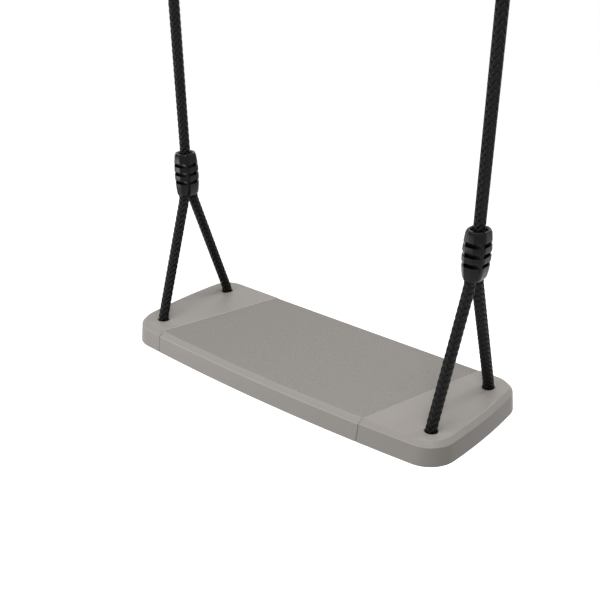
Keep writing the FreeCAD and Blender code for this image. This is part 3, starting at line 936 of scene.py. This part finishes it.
def effect(name, takes, gives):
    """A new node group with its sockets, and its input and output nodes."""
    tree = bpy.data.node_groups.new(name, "ShaderNodeTree")
    for in_out, sockets in (("INPUT", takes), ("OUTPUT", gives)):
        for socket, kind in sockets:
            tree.interface.new_socket(name=socket, in_out=in_out, socket_type="NodeSocket" + kind)
    return tree, tree.nodes.new("NodeGroupInput"), tree.nodes.new("NodeGroupOutput")


def around_zero(tree, value, amount):
    """Move a value that lies between 0 and 1 to lie round 0, and scale it."""
    centred = add(tree, "Math", ((0, value), (1, 0.5)), operation="SUBTRACT")
    return add(tree, "Math", ((0, centred.outputs[0]), (1, amount)),
               operation="MULTIPLY").outputs[0]


def tinted(tree, tone, *parts):
    """The tone times one plus each part."""
    total = 1.0
    for part in parts:
        total = add(tree, "Math", ((0, part), (1, total)), operation="ADD").outputs[0]
    return add(tree, "VectorMath", ((0, tone), ("Scale", total)), operation="SCALE").outputs[0]


# %% The grain of a moulded surface, with a painted edge highlight
cloud_scale = 26.0
cloud_contrast = 0.05
highlight_lift = 0.24
gloss_change = 0.12
moulded_grain, takes, gives = effect(
    "moulded_grain",
    (("Position", "Vector"), ("Tone", "Color"), ("Scale", "Float"), ("Contrast", "Float"),
     ("Roughness", "Float"), ("Edge", "Float")),
    (("Tone", "Color"), ("Height", "Float"), ("Roughness", "Float")))
tree = moulded_grain
fine = add(tree, "TexNoise", (("Vector", takes.outputs["Position"]),
                              ("Scale", takes.outputs["Scale"]),
                              ("Detail", 3.0), ("Roughness", 0.62)))
cloudy = add(tree, "TexNoise", (("Vector", takes.outputs["Position"]),
                                ("Scale", cloud_scale), ("Detail", 2.0)))
speck = around_zero(tree, fine.outputs["Fac"], takes.outputs["Contrast"])
cloud = around_zero(tree, cloudy.outputs["Fac"], cloud_contrast)
# Painted highlight: the Edge input makes the tone lighter along the marked edges.
painted_highlight = add(tree, "Math", ((0, takes.outputs["Edge"]), (1, highlight_lift)),
             operation="MULTIPLY").outputs[0]
tree.links.new(tinted(tree, takes.outputs["Tone"], speck, cloud, painted_highlight), gives.inputs["Tone"])
tree.links.new(fine.outputs["Fac"], gives.inputs["Height"])
rub = around_zero(tree, cloudy.outputs["Fac"], gloss_change)
rough = add(tree, "Math", ((0, takes.outputs["Roughness"]), (1, rub)), operation="ADD")
tree.links.new(rough.outputs[0], gives.inputs["Roughness"])
print(tree.name, "nodes", len(tree.nodes))

# %% The skin of plated metal
metal_skin, takes, gives = effect(
    "metal_skin",
    (("Position", "Vector"), ("Tone", "Color"), ("Scale", "Float"), ("Roughness", "Float")),
    (("Tone", "Color"), ("Height", "Float"), ("Roughness", "Float")))
tree = metal_skin
bloom = add(tree, "TexNoise", (("Vector", takes.outputs["Position"]),
                               ("Scale", takes.outputs["Scale"]),
                               ("Detail", 4.0), ("Roughness", 0.6), ("Distortion", 0.6)))
drawn = add(tree, "Mapping", (("Vector", takes.outputs["Position"]),
                              ("Scale", (900.0, 900.0, 60.0))))
lines = add(tree, "TexNoise", (("Vector", drawn.outputs[0]), ("Scale", 1.0), ("Detail", 2.0)))
patch = around_zero(tree, bloom.outputs["Fac"], 0.5)
line = around_zero(tree, lines.outputs["Fac"], 0.2)
tree.links.new(tinted(tree, takes.outputs["Tone"], patch, line), gives.inputs["Tone"])
tree.links.new(lines.outputs["Fac"], gives.inputs["Height"])
dull = around_zero(tree, bloom.outputs["Fac"], 0.5)
rough = add(tree, "Math", ((0, takes.outputs["Roughness"]), (1, dull)), operation="ADD")
tree.links.new(rough.outputs[0], gives.inputs["Roughness"])
print(tree.name, "nodes", len(tree.nodes))

# %% The fibres of a yarn
yarn_roughness = 0.46
yarn_fibres, takes, gives = effect(
    "yarn_fibres",
    (("Along", "Vector"), ("Tone", "Color"), ("Fibres", "Float")),
    (("Tone", "Color"), ("Height", "Float"), ("Roughness", "Float")))
tree = yarn_fibres
stretch = add(tree, "CombineXYZ", (("X", takes.outputs["Fibres"]), ("Y", 1.4), ("Z", 1.0)))
laid = add(tree, "VectorMath", ((0, takes.outputs["Along"]), (1, stretch.outputs[0])),
           operation="MULTIPLY")
fibre = add(tree, "TexNoise", (("Vector", laid.outputs[0]), ("Scale", 1.0), ("Detail", 3.0),
                               ("Roughness", 0.7)))
faded = add(tree, "TexNoise", (("Vector", takes.outputs["Along"]), ("Scale", 0.35),
                               ("Detail", 1.0)))
tree.links.new(tinted(tree, takes.outputs["Tone"],
                      around_zero(tree, fibre.outputs["Fac"], 1.6),
                      around_zero(tree, faded.outputs["Fac"], 0.8)), gives.inputs["Tone"])
tree.links.new(fibre.outputs["Fac"], gives.inputs["Height"])
sheen = add(tree, "Math", ((0, yarn_roughness),
                           (1, around_zero(tree, fibre.outputs["Fac"], 0.3))), operation="ADD")
tree.links.new(sheen.outputs[0], gives.inputs["Roughness"])
print(tree.name, "nodes", len(tree.nodes))

# %% Build a material round an effect
def finish_of(name, tree_effect, start, values, bump, depth, **shader_values):
    """A material whose colour, roughness and bump come from one effect, read at start."""
    material = bpy.data.materials.new(name)
    material.use_nodes = True
    nodes = material.node_tree
    shader = nodes.nodes["Principled BSDF"]
    for key, value in shader_values.items():
        shader.inputs[key.replace("_", " ")].default_value = value
    placed = nodes.nodes.new("ShaderNodeGroup")
    placed.node_tree = tree_effect
    for socket, value in values.items():
        placed.inputs[socket].default_value = value
    if start == "Along":
        source = add(nodes, "UVMap", uv_map="along_strand").outputs["UV"]
    else:
        source = add(nodes, "TexCoord").outputs["Object"]
    nodes.links.new(source, placed.inputs[start])
    relief = add(nodes, "Bump", (("Strength", bump), ("Distance", depth),
                                 ("Height", placed.outputs["Height"])))
    nodes.links.new(placed.outputs["Tone"], shader.inputs["Base Color"])
    nodes.links.new(placed.outputs["Roughness"], shader.inputs["Roughness"])
    nodes.links.new(relief.outputs[0], shader.inputs["Normal"])
    return material


def rgb(red, green, blue):
    """A colour with full cover."""
    return (red, green, blue, 1.0)


# %% The plastics
cap_plastic = finish_of("cap_plastic", moulded_grain, "Position",
                        {"Tone": rgb(0.323, 0.301, 0.279), "Scale": 1500.0, "Contrast": 0.10,
                         "Roughness": 0.42}, 0.25, 0.05 * MM, Specular_IOR_Level=0.22)
clamp_plastic = finish_of("clamp_plastic", moulded_grain, "Position",
                          {"Tone": rgb(0.0030, 0.0030, 0.0032), "Scale": 2500.0, "Contrast": 0.5,
                           "Roughness": 0.21}, 0.2, 0.03 * MM, Specular_IOR_Level=0.17)
core_plastic = finish_of("core_plastic", moulded_grain, "Position",
                         {"Tone": rgb(0.235, 0.220, 0.203), "Scale": 900.0, "Contrast": 0.2,
                          "Roughness": 0.55}, 0.3, 0.08 * MM)
thimble_nylon = finish_of("thimble_nylon", moulded_grain, "Position",
                          {"Tone": rgb(0.014, 0.014, 0.014), "Scale": 1800.0, "Contrast": 0.4,
                           "Roughness": 0.3}, 0.15, 0.03 * MM)
print("plastics", [m.name for m in (cap_plastic, clamp_plastic, core_plastic, thimble_nylon)])

# %% The yarn and the metals
rope_yarn = finish_of("rope_yarn", yarn_fibres, "Along",
                      {"Tone": rgb(0.0030, 0.0030, 0.0032), "Fibres": 9.0}, 0.5, 0.12 * MM,
                      Specular_IOR_Level=0.15)
zinc_steel = finish_of("zinc_steel", metal_skin, "Position",
                       {"Tone": rgb(0.44, 0.45, 0.46), "Scale": 160.0, "Roughness": 0.33},
                       0.12, 0.02 * MM, Metallic=1.0)
screw_steel = finish_of("screw_steel", metal_skin, "Position",
                        {"Tone": rgb(0.52, 0.50, 0.45), "Scale": 420.0, "Roughness": 0.38},
                        0.1, 0.02 * MM, Metallic=1.0)
stopper_alloy = finish_of("stopper_alloy", metal_skin, "Position",
                          {"Tone": rgb(0.42, 0.42, 0.43), "Scale": 300.0, "Roughness": 0.45},
                          0.15, 0.02 * MM, Metallic=1.0)
print("others", [m.name for m in (rope_yarn, zinc_steel, screw_steel, stopper_alloy)])

# %% [markdown]
# ## A panel with two textures
# The middle panel is grained like fine stone on its flat top, and almost smooth on the band
# round the edge and on the walls. The covers carry a point attribute for that: it is one on the
# flat and falls to zero at the band. The material uses it to fade the grain and the tone.

# %% The panel's plastic
panel_plastic = bpy.data.materials.new("panel_plastic")
panel_plastic.use_nodes = True
tree = panel_plastic.node_tree
shader = tree.nodes["Principled BSDF"]
shader.inputs["Specular IOR Level"].default_value = 0.22
place = add(tree, "TexCoord").outputs["Object"]
flat = add(tree, "Attribute", attribute_name="flat_top").outputs["Fac"]
layers = []
for tone, scale, contrast, roughness in ((rgb(0.330, 0.309, 0.287), 1500.0, 0.14, 0.42),
                                         (rgb(0.264, 0.250, 0.232), 1000.0, 0.75, 0.62)):
    grain = tree.nodes.new("ShaderNodeGroup")
    grain.node_tree = moulded_grain
    tree.links.new(place, grain.inputs["Position"])
    for socket, value in (("Tone", tone), ("Scale", scale), ("Contrast", contrast),
                          ("Roughness", roughness)):
        grain.inputs[socket].default_value = value
    layers.append(grain)
band, top = layers
tone_mix = add(tree, "Mix", (("Factor", flat),), data_type="RGBA")
tree.links.new(band.outputs["Tone"], tone_mix.inputs[6])
tree.links.new(top.outputs["Tone"], tone_mix.inputs[7])
tree.links.new(tone_mix.outputs[2], shader.inputs["Base Color"])
rough_mix = add(tree, "Mix", (("Factor", flat), (2, band.outputs["Roughness"]),
                              (3, top.outputs["Roughness"])))
tree.links.new(rough_mix.outputs[0], shader.inputs["Roughness"])
grain_height = add(tree, "Math", ((0, top.outputs["Height"]), (1, flat)),
                   operation="MULTIPLY")
relief = add(tree, "Bump", (("Strength", 0.45), ("Distance", 0.15 * MM),
                            ("Height", grain_height.outputs[0])))
tree.links.new(relief.outputs[0], shader.inputs["Normal"])
print(panel_plastic.name, "nodes", len(tree.nodes))

# %% [markdown]
# ## Painted edge highlights
# The rounded lower edge of the chamfer and the caps' rounded edges at the seams show thin light
# lines. These are painted highlights: the covers carry a second attribute, which is one on those
# edges, and the grain's tone turns lighter there. Such edges could be found by their curvature,
# but what that finds depends on how finely the mesh is divided.

# %% Paint a highlight on the marked edges
for material in (cap_plastic, panel_plastic):
    tree = material.node_tree
    edge = add(tree, "Attribute", attribute_name="painted_edge_highlight").outputs["Fac"]
    for node in list(tree.nodes):
        if node.bl_idname == "ShaderNodeGroup":
            tree.links.new(edge, node.inputs["Edge"])
    print(material.name, "reads the rubbed edge")

# %% Give every piece its finish
for piece in ropes:
    piece.data.materials.append(rope_yarn)
for piece in clamps:
    piece.data.materials.append(clamp_plastic)
for piece in (right_cap, left_cap):
    piece.data.materials.append(cap_plastic)
panel.data.materials.append(panel_plastic)

by_slot = {"core_plastic": core_plastic, "thimble_nylon": thimble_nylon,
           "stopper_alloy": stopper_alloy, "zinc_steel": zinc_steel, "screw_steel": screw_steel}
painted = 0
for row in frame["record"]["subparts"]:
    if row["material_slot"] in by_slot:
        for slot in frame["nodes"][row["node"]].material_slots:
            slot.material = by_slot[row["material_slot"]]
            painted += 1
print("carried-over nodes with a new finish", painted)

# %% [markdown]
# ## Floor, backdrop and light
# The swing hangs in a white studio. Its background is white because camera rays, and the rays
# that gloss and glass send out, find white there; the light on the object stays at a plain
# level. The floor glows a little for those rays only, and more towards its rim, so that it
# meets the white world without a line and still takes the swing's shadow in its middle. A wide
# lamp hangs overhead. Smaller ones stand at the front, at the rear right and at the front right.
# The one low at the front left is what the black clamps mirror in their front faces.

# %% The floor
floor_z = -1.05
floor_radius = 4.0
bpy.ops.object.select_all(action="DESELECT")
bpy.ops.mesh.primitive_circle_add(vertices=64, radius=floor_radius, fill_type="NGON",
                                  location=(0, 0, 0))
floor = bpy.context.object
floor.name = "floor"
floor.data.transform(Matrix.Translation((0.0, 0.0, floor_z)))
print("floor at", floor_z)


# %% The floor's paper
def seen_rays(tree):
    """1 for rays from the camera and for those that gloss or glass sends out, otherwise 0."""
    path = add(tree, "LightPath")
    first = add(tree, "Math", ((0, path.outputs["Is Camera Ray"]),
                               (1, path.outputs["Is Glossy Ray"])), operation="MAXIMUM")
    return add(tree, "Math", ((0, first.outputs[0]), (1, path.outputs["Is Transmission Ray"])),
               operation="MAXIMUM").outputs[0]


paper = bpy.data.materials.new("white_floor")
paper.use_nodes = True
tree = paper.node_tree
tree.nodes.clear()
place = add(tree, "TexCoord").outputs["Object"]
flat_place = add(tree, "VectorMath", ((0, place), (1, (1.0, 1.0, 0.0))), operation="MULTIPLY")
away = add(tree, "VectorMath", ((0, flat_place.outputs[0]),), operation="LENGTH")
glow = add(tree, "MapRange", (("Value", away.outputs["Value"]), ("From Min", 0.5),
                              ("From Max", 1.6), ("To Min", 0.85), ("To Max", 1.0)))
shown = add(tree, "Math", ((0, glow.outputs[0]), (1, seen_rays(tree))), operation="MULTIPLY")
matt = add(tree, "BsdfDiffuse", (("Color", (0.8, 0.8, 0.8, 1.0)),))
light = add(tree, "Emission", (("Strength", shown.outputs[0]),))
both = add(tree, "AddShader", ((0, matt.outputs[0]), (1, light.outputs[0])))
add(tree, "OutputMaterial", (("Surface", both.outputs[0]),))
floor.data.materials.append(paper)
print(paper.name, "nodes", len(tree.nodes))

# %% The world
world = bpy.data.worlds.new("studio")
scene.world = world
world.use_nodes = True
tree = world.node_tree
tree.nodes.clear()
plain = add(tree, "Background", (("Color", (1.0, 1.0, 1.0, 1.0)), ("Strength", 0.05)))
white = add(tree, "Background", (("Color", (1.0, 1.0, 1.0, 1.0)), ("Strength", 1.0)))
mix = add(tree, "MixShader", ((0, seen_rays(tree)), (1, plain.outputs[0]), (2, white.outputs[0])))
add(tree, "OutputWorld", (("Surface", mix.outputs[0]),))
print(world.name, "nodes", len(tree.nodes))


# %% Lamps
def soft_lamp(name, place, aim, wide, tall, power):
    """A rectangular lamp that faces a point."""
    data = bpy.data.lights.new(name, "AREA")
    data.shape = "RECTANGLE"
    data.size = wide
    data.size_y = tall
    data.energy = power
    lamp = bpy.data.objects.new(name, data)
    lamp.location = place
    lamp.rotation_euler = (Vector(aim) - Vector(place)).to_track_quat("-Z", "Y").to_euler()
    scene.collection.objects.link(lamp)
    print(name, power, "W")


seat_middle = (0.0, 0.0, seat_top)
soft_lamp("lamp_overhead", (0.1, -0.1, 1.0), seat_middle, 1.2, 1.2, 18.4)
soft_lamp("lamp_high_front", (-0.3, -1.3, 0.6), seat_middle, 0.7, 0.7, 3.0)
soft_lamp("lamp_low_front", (-0.82, -1.0, -0.55), seat_middle, 0.8, 0.38, 5.8)
soft_lamp("lamp_rear_right", (0.5, 1.25, 0.5), seat_middle, 0.3, 0.6, 5.0)
soft_lamp("lamp_front_right", (0.85, -0.9, 0.8), seat_middle, 0.5, 0.5, 8.2)
